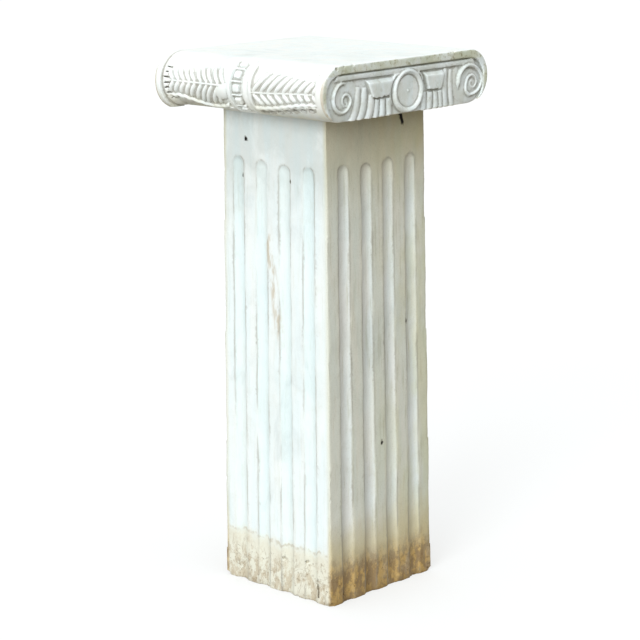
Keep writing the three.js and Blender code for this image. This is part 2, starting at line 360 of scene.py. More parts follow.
# Painted shade: the small holes and the sawn slot are marked deep, so they come out nearly
# black.
darken(shaft, [(x * MM, y * MM, z * MM, (radius + 0.6) * MM) for x, y, z, radius in holes])
darken(shaft, [(SLOT_X - lift * 0.34, -NECK_HALF + depth, SLOT_Z + lift, 3.2 * MM)
               for lift in np.arange(-0.012, 0.017, 0.002)
               for depth in np.arange(0.001, 0.027, 0.002)])
mark_flutes(shaft)
thin_out(shaft, SHAFT_FACES)


class Value:
    """A socket that Python's operators work on; each adds a Math node."""

    def __init__(self, paint, socket):
        self.paint = paint
        self.socket = socket

    def math(self, operation, *others, clamp=False):
        return self.paint.node("ShaderNodeMath", {"operation": operation, "use_clamp": clamp},
                               dict(enumerate((self, *others))))

    def __add__(self, other):
        return self.math("ADD", other)

    def __radd__(self, other):
        return self.math("ADD", other)

    def __sub__(self, other):
        return self.math("SUBTRACT", other)

    def __rsub__(self, other):
        return self.paint.node("ShaderNodeMath", {"operation": "SUBTRACT"}, {0: other, 1: self})

    def __mul__(self, other):
        return self.math("MULTIPLY", other)

    def __pow__(self, other):
        return self.math("POWER", other)

    def between(self, low, high):
        """0 at low, 1 at high, smooth in between."""
        return self.paint.node("ShaderNodeMapRange", {"interpolation_type": "SMOOTHSTEP"},
                               {"Value": self, "From Min": low, "From Max": high})

    def clamp(self):
        return self.math("ADD", 0, clamp=True)

    def larger(self, other):
        return self.math("MAXIMUM", other)

    def size(self):
        return self.math("ABSOLUTE")


class Paint:
    """A material, or a world, whose nodes are added by one method."""

    def __init__(self, name, owner=None):
        self.material = owner or bpy.data.materials.new(name)
        self.material.use_nodes = True
        self.tree = self.material.node_tree
        self.tree.nodes.clear()

    def node(self, kind, settings=None, inputs=None, output=0):
        made = self.tree.nodes.new(kind)
        for key, value in (settings or {}).items():
            setattr(made, key, value)
        for key, value in (inputs or {}).items():
            socket = made.inputs[key]
            if isinstance(value, Value):
                self.tree.links.new(value.socket, socket)
            elif isinstance(value, tuple) and len(value) == 3 and socket.type == "RGBA":
                socket.default_value = (*value, 1)
            else:
                socket.default_value = value
        return Value(self, made.outputs[output]) if made.outputs else None

    def blend(self, share, first, second, how="MIX"):
        """One colour over another."""
        made = self.tree.nodes.new("ShaderNodeMix")
        made.data_type = "RGBA"
        made.blend_type = how
        made.clamp_factor = True
        for key, value in ((0, share), (6, first), (7, second)):
            if isinstance(value, Value):
                self.tree.links.new(value.socket, made.inputs[key])
            elif isinstance(value, tuple):
                made.inputs[key].default_value = (*value, 1)
            else:
                made.inputs[key].default_value = value
        return Value(self, made.outputs[2])

    def place(self, scale=(1, 1, 1), turn=(0, 0, 0)):
        """Object coordinates in metres, stretched and turned."""
        point = self.node("ShaderNodeTexCoord", output="Object")
        return self.node("ShaderNodeMapping", {}, {
            "Vector": point, "Scale": scale, "Rotation": turn})

    def along_axes(self):
        """The three object coordinates, in metres."""
        point = self.node("ShaderNodeTexCoord", output="Object")
        return [self.node("ShaderNodeSeparateXYZ", {}, {0: point}, output=axis)
                for axis in "XYZ"]

    def attribute(self, name):
        """A number stored with each point of the mesh."""
        return self.node("ShaderNodeAttribute", {"attribute_name": name}, output="Fac")

    def noise(self, place, scale, detail=4.0, rough=0.55, bend=0.0):
        return self.node("ShaderNodeTexNoise", {}, {
            "Vector": place, "Scale": scale, "Detail": detail, "Roughness": rough,
            "Distortion": bend})


def marble(paint, hollow_start, hollow_full, crest_colour, crest_share):
    """White marble: faint grey clouds and veins, grime and painted shade held in the hollows,
    near-black painted shade at the deepest points, and crests blended toward a given colour.
    """
    here = paint.place()
    clouds = paint.noise(here, 5.0, 5.0, 0.6, 0.6)
    mottle = paint.noise(here, 38.0, 4.0, 0.6)
    grain = paint.noise(here, 300.0, 3.0, 0.65)
    streaks = paint.noise(paint.place((1.0, 1.0, 0.12)), 42.0, 4.0, 0.6)
    white = paint.blend(streaks.between(0.35, 0.65), (0.79, 0.82, 0.81), (0.83, 0.82, 0.79))
    body = paint.blend(clouds.between(0.45, 0.75) * 0.6, white, (0.70, 0.74, 0.72))
    body = paint.blend(mottle.between(0.5, 0.8) * 0.35, body, (0.68, 0.67, 0.61))
    vein = paint.noise(paint.place((1.0, 1.0, 0.35), (0.5, 0.2, 0.4)), 7.0, 6.0, 0.55, 1.2)
    vein = 1 - ((vein - 0.5).size() * 26).clamp()
    body = paint.blend(vein * clouds.between(0.45, 0.65) * 0.3, body, (0.52, 0.55, 0.55))
    depth = paint.attribute("hollow")
    # Raised points blend toward crest_colour; on the capital this is a painted highlight on the
    # carving's crests.
    crest = 1 - depth.between(-0.9, 0.1)
    body = paint.blend(crest * crest_share, body, crest_colour)
    # Hollows darken to grey-brown: partly grime, partly painted shade in the recesses.
    grime_and_shade = depth.between(hollow_start, hollow_full) * (0.3 + mottle * 0.9).clamp()
    body = paint.blend(grime_and_shade * 0.85, body, (0.29, 0.27, 0.23))
    # Painted shade: the deepest points (holes, slot, drilled pockets) turn nearly black.
    body = paint.blend(depth.between(4.0, 8.0), body, (0.02, 0.018, 0.015))
    bump = paint.node("ShaderNodeBump", {}, {"Height": mottle * 0.4 + grain * 0.35,
                                             "Strength": 0.4, "Distance": 0.0014})
    rough = 0.46 + mottle * 0.2
    return body, rough, bump


def finish_stone(paint, colour, rough, bump):
    shader = paint.node("ShaderNodeBsdfPrincipled", {}, {
        "Base Color": colour, "Roughness": rough, "Normal": bump,
        "Specular IOR Level": 0.35})
    paint.node("ShaderNodeOutputMaterial", {}, {"Surface": shader})
    return paint.material


shaft_paint = Paint("shaft_marble")
colour, rough, bump = marble(shaft_paint, 0.5, 2.6, (0.78, 0.76, 0.68), 0.25)
east, depth_in, height = shaft_paint.along_axes()
on_left = (0 - east - depth_in.size()).between(-0.001, 0.011)
flute = shaft_paint.attribute("flute")
# Painted light by side: the left side, which faces the key light, gets a cool painted tint,
# cooler still in its flutes, and no skin; the other sides are multiplied a little darker,
# painted shade, and keep a beige skin outside the flutes.
skin = (1 - flute) * (1 - on_left)
colour = shaft_paint.blend(skin, colour, (0.92, 0.90, 0.83), "MULTIPLY")
colour = shaft_paint.blend(1 - on_left, colour, (0.96, 0.97, 0.965), "MULTIPLY")
colour = shaft_paint.blend(on_left, colour, (0.965, 1.0, 1.03), "MULTIPLY")
colour = shaft_paint.blend(on_left * flute, colour, (0.96, 1.0, 1.0), "MULTIPLY")
fine = shaft_paint.noise(shaft_paint.place((1, 1, 0.07)), 150.0, 4.0, 0.65)
fine = fine.between(0.5, 0.75) * (1 - on_left * 0.6) * (1 - height.between(0.7, 0.78))
colour = shaft_paint.blend(fine, colour, (0.80, 0.79, 0.72), "MULTIPLY")
# Painted shade under the capital: the neck is darkened where the capital overhangs it, patchy
# on the left side.
patches = shaft_paint.noise(shaft_paint.place((1, 1, 0.7)), 11.0, 5.0, 0.62, 0.5)
neck_shade = height.between(0.63, 0.775)
colour = shaft_paint.blend(neck_shade * (1 - on_left), colour, (0.84, 0.80, 0.70), "MULTIPLY")
neck_shade = height.between(0.58, 0.79) * (0.5 + patches.between(0.4, 0.62)) * on_left
colour = shaft_paint.blend(neck_shade, colour, (0.80, 0.81, 0.80), "MULTIPLY")
# A yellow-green bloom on the shaded right, and a brown mottled streak on the left side.
bloom = shaft_paint.noise(shaft_paint.place((1, 1, 0.4)), 14.0, 4.0, 0.6)
bloom = bloom.between(0.38, 0.6) * east.between(-0.08, 0.1) * (1 - on_left)
colour = shaft_paint.blend(bloom, colour, (0.93, 0.92, 0.80), "MULTIPLY")
drift = (depth_in + (0.64 - height) * 0.14 - 0.018).size()
streak = (1 - drift.between(0.004, 0.013)) * height.between(0.42, 0.47)
streak = streak * (1 - height.between(0.6, 0.65)) * on_left
fibres = shaft_paint.noise(shaft_paint.place((1, 1, 0.22), (0.14, 0, 0)), 120.0, 3.0, 0.6)
colour = shaft_paint.blend(streak * fibres.between(0.42, 0.6) * 0.75, colour,
                           (0.50, 0.41, 0.29))
# Rusty ground water has crept up from the foot; on the left side it dried pale and cracked.
wander = shaft_paint.noise(shaft_paint.place((1, 1, 0.5)), 18.0, 5.0, 0.62)
creep = height + (wander - 0.5) * 0.07
streaky = shaft_paint.noise(shaft_paint.place((1, 1, 0.6)), 70.0, 5.0, 0.65)
crumbs = shaft_paint.noise(shaft_paint.place(), 170.0, 4.0, 0.7)
much = 1 - on_left
faint = (1 - creep.between(0.075, 0.165)) * much
strong = (1 - creep.between(0.035, 0.095)) * much
colour = shaft_paint.blend(faint * 0.75, colour, (0.60, 0.50, 0.28))
rust = shaft_paint.blend(streaky.between(0.43, 0.57), (0.55, 0.34, 0.10), (0.22, 0.12, 0.04))
rust = shaft_paint.blend(wander.between(0.5, 0.7) * (1 - height.between(0.03, 0.06)), rust,
                         (0.60, 0.47, 0.32))
colour = shaft_paint.blend(strong * (0.55 + crumbs * 0.6).clamp(), colour, rust)
pale = (1 - creep.between(0.072, 0.1)) * on_left
colour = shaft_paint.blend(pale * 0.75, colour, (0.72, 0.67, 0.53))
tide = (creep - 0.086).size().between(0.004, 0.001) * on_left * streaky.between(0.4, 0.6)
colour = shaft_paint.blend(tide * 0.5, colour, (0.45, 0.38, 0.26))
blots = (streaky * 0.7 + crumbs * 0.3).between(0.47, 0.57) * (1 - creep.between(0.03, 0.09))
colour = shaft_paint.blend(blots * (0.4 + on_left * 0.1), colour, (0.40, 0.28, 0.15))
specks = crumbs.between(0.6, 0.68) * (1 - creep.between(0.05, 0.09))
colour = shaft_paint.blend(specks * (0.8 - on_left * 0.2), colour, (0.14, 0.09, 0.05))
crazing = shaft_paint.noise(shaft_paint.place((1, 1, 0.8)), 34.0, 6.0, 0.6, 0.9)
crazing = (1 - ((crazing - 0.5).size() * 40).clamp()) * (1 - creep.between(0.05, 0.08))
colour = shaft_paint.blend(crazing * 0.45, colour, (0.24, 0.16, 0.08))
damp = (1 - creep.between(-0.01, 0.016)) * (0.6 - on_left * 0.25)
colour = shaft_paint.blend(damp, colour, (0.24, 0.15, 0.06))
# Dirt along the edges of the flutes comes and goes.
seam = shaft_paint.attribute("seam")
presence = shaft_paint.noise(shaft_paint.place((1, 1, 0.14)), 55.0, 4.0, 0.65)
colour = shaft_paint.blend(seam * presence.between(0.4, 0.6) * 0.75, colour,
                           (0.31, 0.29, 0.25))
sugar = shaft_paint.noise(shaft_paint.place(), 420.0, 3.0, 0.7)
colour = shaft_paint.blend(sugar.between(0.5, 0.7) * (0.8 - on_left * 0.5), colour,
                           (0.87, 0.87, 0.85), "MULTIPLY")
shaft.data.materials.clear()
shaft.data.materials.append(finish_stone(shaft_paint, colour, rough, bump))
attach(shaft, "root")
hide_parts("shaft")

# ---------------------------------------------------------------- capital
# One flat marble block with a roll along each side, laid on the shaft by its own weight.
# Front and back carry a pair of volutes, a boss and tongues in low relief; each roll carries
# two leaf fronds that spread from a beaded belt.

capital_low, capital_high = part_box("capital")
BED = capital_low.z
TOP = capital_high.z
ROLL_RADIUS = 45
ROLL_X = 155
ROLL_Z = (BED + TOP) / 2 / MM
FACE_Y = -capital_low.y / MM
GROUND_Y = FACE_Y - 7
LEAF_RADIUS = 40.0
CAPITAL_VOXEL = 1.1 * MM
CAPITAL_FACES = 185000


def wrapped(piece):
    """Rolls a flat carving round the left roll: x along it, y round it, z above the leaf."""
    for vertex in piece.data.vertices:
        along, arc, rise = vertex.co
        angle = arc / (LEAF_RADIUS * MM)
        reach = LEAF_RADIUS * MM + rise
        vertex.co = (-ROLL_X * MM - reach * math.cos(angle), along,
                     ROLL_Z * MM + reach * math.sin(angle))
    return settle(piece)


def blanket(name, start, end, low_edge, high_edge, ground, columns=48, rows=24):
    """What is cut away above a carved ground, drawn flat and then wrapped round the roll."""
    let_go()
    bpy.ops.mesh.primitive_grid_add(x_subdivisions=columns, y_subdivisions=rows, size=1)
    piece = bpy.context.object
    piece.name = name
    for vertex in piece.data.vertices:
        along = start + (end - start) * (vertex.co.x + 0.5)
        low, high = low_edge(along), high_edge(along)
        arc = low + (high - low) * (vertex.co.y + 0.5)
        vertex.co = (along * MM, arc * MM, ground(along, arc) * MM)
    pick(piece, "FACE", lambda face: True)
    bpy.ops.mesh.extrude_region_move(TRANSFORM_OT_translate={"value": (0, 0, 20 * MM)})
    bpy.ops.object.mode_set(mode="OBJECT")
    for vertex in piece.data.vertices:
        if vertex.select:
            vertex.co.z = 12 * MM
    return wrapped(piece)


def step(value, start, end):
    """0 before start, 1 past end, smooth in between."""
    share = min(max((value - start) / (end - start), 0), 1)
    return share * share * (3 - 2 * share)


def arc_of(degrees):
    """Length round the leaf ground, in millimetres, from level with the roll's middle."""
    return LEAF_RADIUS * math.radians(degrees)


def half_turned(piece):
    """A copy with its own mesh, half a turn round the middle of the capital."""
    take(piece)
    bpy.ops.object.duplicate()
    twin = bpy.context.object
    twin.rotation_euler = (0, 0, math.pi)
    return settle(twin)


BELT_NEAR, BELT_FAR = -24, 18
NEAR_END, FAR_END = -178, 178


def near_border(along):
    """Lower border of the near frond."""
    return arc_of(-46 + 24 * step(along, -35, -175) ** 0.9)


def far_border(along):
    """Lower border of the far frond."""
    return arc_of(-34 - 24 * step(along, 150, 72) + 9 * step(along, 62, 28))


def frond_ground(along, arc):
    """The leaf ground: sunk in the middle, rising to the rims and to the plain top."""
    rim = max(step(along, 164, 178), step(-along, 164, 178)) * 5
    top = step(arc, arc_of(38), arc_of(66)) * 5.5
    return max(rim, top)


def hollow_ground(along, arc):
    """The rough hollow left under the far frond."""
    return 5.4 * max(1 - step(along, 50, 78), step(along, 158, 173),
                     step(-arc, arc_of(76), arc_of(99)))


def bevel_edges(piece, test, offset, segments):
    """Rounds the edges whose two ends pass the test."""
    take(piece)
    bpy.ops.object.mode_set(mode="EDIT")
    bpy.ops.mesh.select_mode(type="EDGE")
    bpy.ops.mesh.select_all(action="DESELECT")
    bpy.ops.object.mode_set(mode="OBJECT")
    for edge in piece.data.edges:
        edge.select = test(*(piece.data.vertices[k].co for k in edge.vertices))
    bpy.ops.object.mode_set(mode="EDIT")
    bpy.ops.mesh.bevel(offset=offset, segments=segments, affect="EDGES")
    return settle(piece)


capital = block("capital_stone", capital_low, capital_high)
# The long edges from front to back become the two rolls.
capital = bevel_edges(capital, lambda first, second: abs(first.y - second.y) > 0.1,
                      ROLL_RADIUS * MM * 0.9999, 16)
# The rims' sharp edges are worn round.
capital = bevel_edges(capital, lambda first, second: abs(first.y - second.y) < 0.1 * MM,
                      2.4 * MM, 3)

cutters = [
    blanket("near_frond_cut", NEAR_END, -30, lambda a: near_border(a) - 3,
            lambda a: arc_of(66), frond_ground),
    blanket("far_frond_cut", 25, FAR_END, lambda a: far_border(a) - 3,
            lambda a: arc_of(66), frond_ground),
    blanket("belt_cut", BELT_NEAR, BELT_FAR, lambda a: arc_of(-82),
            lambda a: arc_of(72), lambda a, r: -2.5 + step(r, arc_of(55), arc_of(72)) * 7.5),
    blanket("far_hollow_cut", 50, 174, lambda a: arc_of(-100), lambda a: far_border(a) - 3.2,
            hollow_ground),
]


def on_front(x, z, out):
    """A point by the front's sunk ground, in metres."""
    return x * MM, (-GROUND_Y - out) * MM, z * MM


def ridges(name, lines, height):
    """Half-round ridges on the front: (x, z, half width); height is a share of half width."""
    piece = bars(name, [[((x * MM, 0, z * MM), r) for x, z, r in line] for line in lines])
    for vertex in piece.data.vertices:
        vertex.co.y = vertex.co.y * height - GROUND_Y * MM
    return settle(piece)


def plate(name, outline, out_low, out_high):
    """A flat plate on the front with that outline of (x, z) points."""
    let_go()
    mesh = bpy.data.meshes.new(name)
    mesh.from_pydata([on_front(x, z, out_low) for x, z in outline], [],
                     [list(range(len(outline)))])
    piece = bpy.data.objects.new(name, mesh)
    bpy.context.scene.collection.objects.link(piece)
    pick(piece, "FACE", lambda face: True)
    bpy.ops.mesh.extrude_region_move(
        TRANSFORM_OT_translate={"value": (0, -(out_high - out_low) * MM, 0)})
    return settle(piece)


def stadium(inset_top, inset_end, inset_bottom, steps=14):
    """The front's outline, drawn in by that much: half rounds at both ends."""
    points = []
    for end in (-1, 1):
        for k in range(steps + 1):
            angle = math.pi / 2 + math.pi * k / steps if end < 0 else (
                -math.pi / 2 + math.pi * k / steps)
            reach_x = ROLL_RADIUS - inset_end
            reach_z = ROLL_RADIUS - (inset_top if math.sin(angle) > 0 else inset_bottom)
            points.append((end * ROLL_X + reach_x * math.cos(angle),
                           ROLL_Z + reach_z * math.sin(angle)))
    return points


cutters.append(plate("front_ground_cut", stadium(14, 10, -4), 0, 14))
twins = [half_turned(piece) for piece in cutters]
for tool in cutters + twins:
    cut(capital, tool)


def spiral(centre_x, centre_z, turns):
    """A line through stations of (angle in degrees, reach across, reach up, half width)."""
    line = []
    for (a0, *start), (a1, *end) in zip(turns, turns[1:]):
        count = max(2, int(abs(a1 - a0) / 14))
        for k in range(count):
            share = k / count
            angle = math.radians(a0 + (a1 - a0) * share)
            across, upward, half = (p + (q - p) * share for p, q in zip(start, end))
            line.append((centre_x + across * math.cos(angle),
                         centre_z + upward * math.sin(angle), half))
    return line


def sweep(*points):
    """A smooth line through (x, z, half width) points."""
    line = []
    last = len(points) - 1
    for k in range(last * 5 + 1):
        i = min(k // 5, last - 1)
        t = k / 5 - i
        near = [points[min(max(j, 0), last)] for j in (i - 1, i, i + 1, i + 2)]
        line.append([0.5 * (2 * b + (c - a) * t + (2 * a - 5 * b + 4 * c - d) * t * t
                            + (3 * b - a - 3 * c + d) * t ** 3) for a, b, c, d in zip(*near)])
    return line


front = []
# Volutes: a ridge that winds in from the outside, thick where the stroke starts.
front.append(ridges("left_volute", [spiral(-152, 862, (
    (62, 22, 25, 1.4), (95, 20, 24, 3.2), (150, 20, 22, 3.6), (215, 20, 22, 3.4),
    (275, 18, 22, 3.4), (330, 19, 22, 3.6))) + sweep(
    (-134, 853, 3.4), (-132.5, 860, 3.2), (-137, 866.5, 2.8), (-144, 868, 2.6),
    (-150, 863.5, 2.4), (-151, 856.5, 2.4), (-147, 851, 2.2), (-141.5, 850.5, 2.0),
    (-139.8, 855, 1.8))], 1.9))
front.append(ridges("right_volute", [spiral(155, 863, (
    (204, 29, 30, 1.6), (182, 28, 26, 4.4), (140, 29, 25, 4.6), (95, 30, 26, 4.2),
    (45, 32, 24, 3.6), (0, 33, 24, 3.4), (-45, 31, 26, 3.4), (-85, 24, 24, 3.6))) + sweep(
    (155, 839, 3.6), (147.5, 846, 3.4), (146.5, 857, 3.2), (152, 867.5, 3), (162, 871.5, 3),
    (171.5, 867, 2.8), (173.5, 858.5, 2.6), (168, 851.5, 2.4), (160.5, 852.5, 2.2),
    (158, 859, 2), (162, 862.5, 2.2))], 1.75))
# Broad bowed ribs that follow each volute, with only a thin valley between them.
front.append(ridges("bows", [
    sweep((-113, 876, 5), (-115, 858, 7.4), (-119, 842, 8), (-128, 823, 7.4)),
    sweep((-97, 874, 5), (-99.5, 856, 7.6), (-103, 840, 8.2), (-111, 823, 7.8)),
    sweep((-81, 862, 6), (-82.5, 850, 8), (-85.5, 838, 8.4), (-92, 823, 8)),
    sweep((111, 884, 3.6), (109.5, 866, 5.4), (110.5, 846, 5.6), (114, 824, 5)),
    sweep((97.5, 887, 4), (95.5, 868, 6), (95, 846, 6.4), (99, 824, 6))], 0.5))
# Tongues under the tabs.
front.append(ridges("tongues", [
    sweep((x, 853, half), (x + lean / 2, 840, half + 0.4), (x + lean, 823, half + 0.3))
    for x, lean, half in ((-69, -4, 6), (-55.5, -2, 6.4), (-42, 2, 6), (44, -1, 5.4),
                          (59, -2, 6.4), (72, 1, 5.6), (83, 2, 5))], 0.6))


def tab(x_inner, x_outer, x_inner_low, x_outer_low):
    """A plain slab beside the boss, with a bevelled top and a broken lower edge."""
    chance = random.Random(int(abs(x_outer)))
    outline = [(x_inner, 885.5), (x_outer, 885.5), (x_outer_low, 859)]
    for k in range(1, 10):
        share = k / 10
        outline.append((x_outer_low + (x_inner_low - x_outer_low) * share,
                        857.5 + chance.uniform(-1.6, 1.6)))
    outline.append((x_inner_low, 858))
    slab = plate("tab", outline, -2, 6.8)
    pick(slab, "VERT", lambda vertex: vertex.co.z > 884 * MM and vertex.co.y < -188 * MM)
    bpy.ops.mesh.bevel(offset=5.2 * MM, segments=1, affect="EDGES")
    return settle(slab)


front.append(tab(-35, -94, -44, -82))
front.append(tab(44, 90, 52, 83))


# Boss: a flat disc in a round moulded ring, with a tiny centre mark.
def turned(name, profile, x, z, spokes=64):
    """A round piece turned on an axis out of the front: (radius, out) points."""
    let_go()
    mesh = bpy.data.meshes.new(name)
    mesh.from_pydata([on_front(x + radius, z, out) for radius, out in profile],
                     [(k, k + 1) for k in range(len(profile) - 1)], [])
    piece = bpy.data.objects.new(name, mesh)
    bpy.context.scene.collection.objects.link(piece)
    pick(piece, "VERT", lambda vertex: True)
    bpy.ops.mesh.spin(steps=spokes, angle=math.tau, center=on_front(x, z, 0), axis=(0, 1, 0))
    return settle(piece)


front.append(turned("boss", (
    (0, -3), (36, -3), (36, 2), (35.4, 4.6), (34.2, 6.8), (32.4, 7.6), (30.4, 7.2),
    (28, 5.6), (26.2, 2.8), (25.4, 2.2), (24.8, 3.6), (23.8, 3.9), (1.8, 3.9), (1.3, 5.2),
    (0, 5.6)), 2.5, 860.6))
front.append(ridges("boss_shells", [
    spiral(1.5, 861.5, ((210, 40, 40, 1.2), (172, 41.5, 42, 2.8), (135, 41.5, 37, 3.2),
                        (108, 40, 30, 2.4), (100, 39, 29, 1.0))),
    spiral(1.5, 861.5, ((72, 39, 30, 1.4), (50, 41.5, 34, 3.0), (30, 42, 37, 2.2),
                        (10, 41, 36, 1.2)))], 1.9))
# The narrow strip under the border.
front.append(plate("strip", [(-163, 898), (-168, 890), (170, 890), (165, 898)], -2, 4.0))
# Low swellings under the volutes.
for x, z, reach_x, reach_z, rise in ((-152, 862, 38, 36, 2.4), (153, 862, 44, 36, 2.4)):
    let_go()
    bpy.ops.mesh.primitive_uv_sphere_add(segments=48, ring_count=24, radius=1,
                                         location=on_front(x, z, 0))
    swell = bpy.context.object
    swell.scale = (reach_x * MM, rise * MM, reach_z * MM)
    front.append(settle(swell))

roll = []


def rolled(name, lines, height):
    """Half-round ridges on the roll: (along, arc, half width) in millimetres."""
    piece = bars(name, [[((a * MM, r * MM, 0), half) for a, r, half in line] for line in lines])
    for vertex in piece.data.vertices:
        vertex.co.z *= height
    return wrapped(piece)


valleys = []


def frond(name, start, end, border, stem, pitch, half, slant, seed):
    """Midrib, two rows of leaflets and the raised lower border of one frond."""
    chance = random.Random(seed)
    way = 1 if end > start else -1
    length = abs(end - start)
    fingers = []
    for number in range(int(length / pitch) + 1):
        foot = 1 + pitch * number + chance.uniform(-0.8, 0.8)
        for up in (1, -1):
            share = (foot + 10) / length
            base = stem(start + way * foot)
            if up > 0:
                room = arc_of(44) * (1 - 0.38 * share) - base
            else:
                room = base - border(start + way * min(foot + 16, length)) - 4.2
            reach = max(room - 2.2, 4)
            lean = reach * slant * chance.uniform(0.9, 1.05)
            lean = min(lean, max(length + 6 - foot, 2))
            finger = []
            for t, r in ((0, 0.4), (0.12, 0.74), (0.3, 0.96), (0.55, 1), (0.8, 0.96),
                         (0.92, 0.74), (1, 0.3)):
                bulge = math.sin(t * math.pi) * 1.3
                finger.append((start + way * (foot + lean * t + bulge),
                               base + up * (1.6 + reach * t - bulge * 0.3), r * half))
            fingers.append(finger)
            # Grime and painted shade lie between the leaflets, but not between the far frond's
            # upper ones.
            if up > 0 and way > 0:
                continue
            for k in range(2, 15):
                t = k / 15
                valleys.append((start + way * (foot + pitch / 2 + lean * t),
                                base + up * (1.6 + reach * t)))
    places = [start + way * length * k / 16 for k in range(17)]
    stem_line = [(along, stem(along), 1.8 - 0.8 * k / 16) for k, along in enumerate(places)]
    edge = []
    for k in range(48):
        share = k / 47
        along = start + way * (length + 6) * share
        edge.append((along, border(along) + 1.0 * math.sin(along * 0.39), 3.9 - 1.0 * share))
    return [rolled(name + "_fingers", fingers, 1.0), rolled(name + "_stem", [stem_line], 1.5),
            rolled(name + "_edge", [edge], 1.5)]


roll += frond("near_frond", -31, -172, near_border,
              lambda a: arc_of(-7 + 8 * step(a, -31, -172)), 16.6, 4.5, 0.92, 3)
roll += frond("far_frond", 34, 170, far_border, lambda a: arc_of(1), 13.4, 3.9, 0.62, 4)
# The belt: a thick cord, a row of square beads between thin bars, and a fillet.
roll.append(rolled("belt_cord", [[(-15.5, arc_of(a), 6.5) for a in range(-86, 88, 5)]], 0.78))
roll.append(rolled("belt_fillet", [[(20.5, arc_of(a), 3.8) for a in range(-86, 88, 5)]], 0.9))
roll.append(rolled("belt_bars", [
    [(a, arc_of(turn), 1.5) for a in (-3, 2, 6, 10, 14, 17)]
    for turn in (-82, -50, -18, 14, 46)], 1.3))
for turn in (-66, -34, -2, 30, 62):
    let_go()
    bpy.ops.mesh.primitive_cube_add(size=1, location=(6.5 * MM, arc_of(turn) * MM, 0))
    bead = bpy.context.object
    bead.scale = (14.6 * MM, 13.2 * MM, 7.4 * MM)
    settle(bead)
    pick(bead, "FACE", lambda face: True)
    bpy.ops.mesh.bevel(offset=3.4 * MM, segments=3, affect="EDGES")
    roll.append(wrapped(settle(bead)))
# The smooth sheath that the far frond springs from.
let_go()
bpy.ops.mesh.primitive_uv_sphere_add(segments=40, ring_count=20, radius=1,
                                     location=(38 * MM, arc_of(-14) * MM, 0))
sheath = bpy.context.object
sheath.scale = (19 * MM, 13 * MM, 4.4 * MM)
sheath.rotation_euler = (0, 0, -0.45)
roll.append(wrapped(settle(sheath)))

# The far left rim is a ring that stands a little larger than the others.
let_go()
bpy.ops.mesh.primitive_cylinder_add(vertices=72, radius=49.5 * MM, depth=13 * MM,
                                    location=(-157 * MM, 183.5 * MM, 868 * MM),
                                    rotation=(math.pi / 2, 0, 0))
far_rim = bpy.context.object
pick(settle(far_rim), "FACE", lambda face: abs(face.normal.y) > 0.5)
bpy.ops.mesh.bevel(offset=2.8 * MM, segments=4, affect="EDGES")
far_rim = settle(far_rim)
let_go()
bpy.ops.mesh.primitive_cylinder_add(vertices=72, radius=40.5 * MM, depth=40 * MM,
                                    location=(-156 * MM, 190 * MM, 869.5 * MM),
                                    rotation=(math.pi / 2, 0, 0))
cut(far_rim, settle(bpy.context.object))

carving = joined("carving", front + roll)
capital = joined("capital_stone", [capital, carving, half_turned(carving), far_rim])
modify(capital, "REMESH", mode="VOXEL", voxel_size=CAPITAL_VOXEL * 1)
roughen(capital, 0.05, 0.9 * MM)
roughen(capital, 0.006, 0.4 * MM)

# Deep slots between the short tongues inside the far rim, and pockets under the near border.
drilled = rolled("drilled", [
    [(a, arc_of(turn), r * share) for a, r in ((162, 0.5), (164, 1.4), (170, 1.8), (175, 1.5),
                                               (178, 0.5))]
    for turn, share in ((-42, 1), (-29, 1), (-16, 1.1), (-5, 1), (8, 1), (20, 0.8),
                        (32, 0.8))] + [
    [(a, near_border(a) - 6.6 - k, r) for k, r in ((-2.8, 2.4), (-1.2, 5.4), (1, 6),
                                                   (3.4, 3.4))]
    for a in range(-46, -172, -19)], 2.6)
twin = half_turned(drilled)
cut(capital, drilled, "MANIFOLD")
cut(capital, twin, "MANIFOLD")

nicks = [(-129, -191, 916.5, 5), (-167, -191, 911, 4), (107, -191, 917.5, 6),
         (112, -190.5, 916, 4.5), (-30, -192, 917.5, 5), (40, -192, 917, 4.5),
         (-150, -192, 914, 4), (60, 192, 917, 5), (-80, 191, 917, 4),
         (104, -192, 823, 5), (122, -191, 823.5, 5), (139, -192, 824, 4), (90, -191, 823, 4),
         (-97, -192, 823, 4), (-60, -192, 823, 4.5), (-190, -191, 838, 4), (150, -191, 823, 4)]
nicks += [(hand.uniform(-160, 165), -191.2, 916.6 + hand.uniform(-0.5, 1), hand.uniform(2, 3.8))
          for _ in range(34)]
nicks = chips("nick_tool", nicks, 6)
cut(capital, nicks, "MANIFOLD")
mark_hollows(capital, 40)


def on_both_rolls(places, lift, reach):
    """Spots on the left roll and, half a turn on, on the right one."""
    spots = []
    for along, arc in places:
        angle = arc / LEAF_RADIUS
        out = (LEAF_RADIUS + lift) * MM
        x, z = -ROLL_X * MM - out * math.cos(angle), ROLL_Z * MM + out * math.sin(angle)
        spots += [(x, along * MM, z, reach * MM), (-x, -along * MM, z, reach * MM)]
    return spots


# Grime mixed with painted shade between the leaflets, and painted shade under the borders and
# in the drilled pockets.
darken(capital, on_both_rolls(valleys, 0, 1.5), 1.0)
# Painted shadow: a thin dark line under the near border, and darker drilled pockets below it.
darken(capital, on_both_rolls([(a, near_border(a) - 4.6 - 0.6 * math.sin(a * 0.33))
                               for a in range(-38, -172, -2)], 3.5, 2.4), 1.2)
darken(capital, on_both_rolls([(a + k, near_border(a) - 7.2 - 2.2 * (1 - abs(k) / 5))
                               for a in range(-46, -172, -19) for k in (-5, -2.5, 0, 2.5, 5)],
                              4, 2.3), 2.4)
darken(capital, on_both_rolls([(a, near_border(a) - 8.2) for a in range(-46, -172, -19)],
                              -2, 5), 2.4)
# Painted shade in the hollow under the far border.
darken(capital, on_both_rolls([(a, far_border(a) - 5.4) for a in range(40, 172, 2)],
                              0, 2.6), 1.4)
